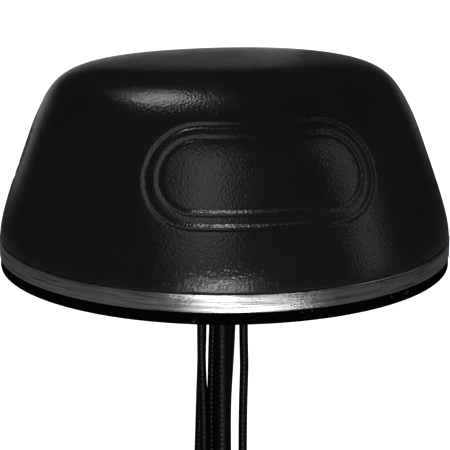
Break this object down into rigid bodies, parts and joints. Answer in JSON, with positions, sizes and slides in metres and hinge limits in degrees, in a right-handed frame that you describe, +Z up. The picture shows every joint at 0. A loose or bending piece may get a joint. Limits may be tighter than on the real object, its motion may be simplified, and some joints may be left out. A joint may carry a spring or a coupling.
{
  "type": "gnss receiver antenna dome",
  "caption": "Low black radome on a turned metal base, clamped to a panel by a hollow threaded stud; coaxial leads hang below and end in screw-on connectors.",
  "frame": {"origin": "centre of the foam ring's underside, the face that lies on the roof panel", "axes": "+Z up out of the panel along the stud; the front that the badge recess faces is near -Y; +X to its right"},
  "size_m": [0.137, 0.137, 0.3433],
  "materials": {
    "moulded_radome": "satin black, fine grain",
    "turned_metal": "turned, satin",
    "foam_gasket": "closed-cell foam",
    "seal_rubber": "matt",
    "plated_steel": "zinc plated",
    "screw_steel": "bright",
    "circuit_board": "solder resist",
    "ceramic": "fired ceramic",
    "tinned_metal": "tinned",
    "cable_jacket": "extruded jacket",
    "heat_shrink": "shrunk sleeve",
    "gold_plate": "gold plated",
    "nickel_plate": "nickel plated"
  },
  "bodies": {
    "root": {"radome": "moulded_radome", "base_plate": "turned_metal", "radome_seal": "seal_rubber", "base_gasket": "foam_gasket", "mounting_stud": "plated_steel", "cable_grommet": "seal_rubber", "circuit_board": "circuit_board", "lower_patch": "ceramic", "upper_patch": "ceramic", "feed_pin": "gold_plate", "amplifier_can": "tinned_metal", "radome_screw_1": "screw_steel", "board_screw_1": "screw_steel", "radome_screw_2": "screw_steel", "board_screw_2": "screw_steel", "radome_screw_3": "screw_steel", "board_screw_3": "screw_steel", "radome_screw_4": "screw_steel", "board_screw_4": "screw_steel", "stud_screw_1": "screw_steel", "wifi_element_1": "circuit_board", "stud_screw_2": "screw_steel", "wifi_element_2": "circuit_board", "stud_screw_3": "screw_steel", "wifi_element_3": "circuit_board", "mobile_element_1": "circuit_board", "mobile_element_2": "circuit_board", "mobile_1_lead": "cable_jacket", "mobile_1_sleeve": "heat_shrink", "mobile_1_connector": "gold_plate", "mobile_2_lead": "cable_jacket", "mobile_2_sleeve": "heat_shrink", "mobile_2_connector": "gold_plate", "wifi_1_lead": "cable_jacket", "wifi_1_sleeve": "heat_shrink", "wifi_1_connector": "gold_plate", "wifi_2_lead": "cable_jacket", "wifi_2_sleeve": "heat_shrink", "wifi_2_connector": "gold_plate", "wifi_3_lead": "cable_jacket", "wifi_3_sleeve": "heat_shrink", "wifi_3_connector": "gold_plate", "gnss_lead": "cable_jacket", "gnss_sleeve": "heat_shrink", "gnss_connector": "gold_plate"},
    "washer": {"mounting_washer": "plated_steel"},
    "nut": {"mounting_nut": "plated_steel"},
    "mobile_1_nut": {"mobile_1_coupling_nut": "nickel_plate"},
    "mobile_2_nut": {"mobile_2_coupling_nut": "nickel_plate"},
    "wifi_1_nut": {"wifi_1_coupling_nut": "nickel_plate"},
    "wifi_2_nut": {"wifi_2_coupling_nut": "nickel_plate"},
    "wifi_3_nut": {"wifi_3_coupling_nut": "nickel_plate"},
    "gnss_nut": {"gnss_coupling_nut": "nickel_plate"}
  },
  "joints": [
    {"name": "washer_slide", "type": "slide", "parent": "root", "child": "washer", "axis": [0, 0, 1], "range_m": [-0.003, 0.00375]},
    {"name": "nut_turn", "type": "hinge", "parent": "washer", "child": "nut", "pos_m": [0, 0, -0.00965], "axis": [0, 0, 1], "range_deg": [-720, 900]},
    {"name": "mobile_1_coupling_turn", "type": "hinge", "parent": "root", "child": "mobile_1_nut", "pos_m": [0.0023, -0.0128, -0.275], "axis": [0, 0, 1], "continuous": true},
    {"name": "mobile_2_coupling_turn", "type": "hinge", "parent": "root", "child": "mobile_2_nut", "pos_m": [0.01, 0.0084, -0.271], "axis": [0, 0, 1], "continuous": true},
    {"name": "wifi_1_coupling_turn", "type": "hinge", "parent": "root", "child": "wifi_1_nut", "pos_m": [-0.0107, -0.0075, -0.278], "axis": [0, 0, 1], "continuous": true},
    {"name": "wifi_2_coupling_turn", "type": "hinge", "parent": "root", "child": "wifi_2_nut", "pos_m": [-0.0122, 0.0044, -0.273], "axis": [0, 0, 1], "continuous": true},
    {"name": "wifi_3_coupling_turn", "type": "hinge", "parent": "root", "child": "wifi_3_nut", "pos_m": [0.0122, -0.0044, -0.269], "axis": [0, 0, 1], "continuous": true},
    {"name": "gnss_coupling_turn", "type": "hinge", "parent": "root", "child": "gnss_nut", "pos_m": [-0.0023, 0.0128, -0.276], "axis": [0, 0, 1], "continuous": true}
  ],
  "couplings": [
    {"joint": "washer_slide", "follows": "nut_turn", "m_per_rad": 0.00023873}
  ]
}
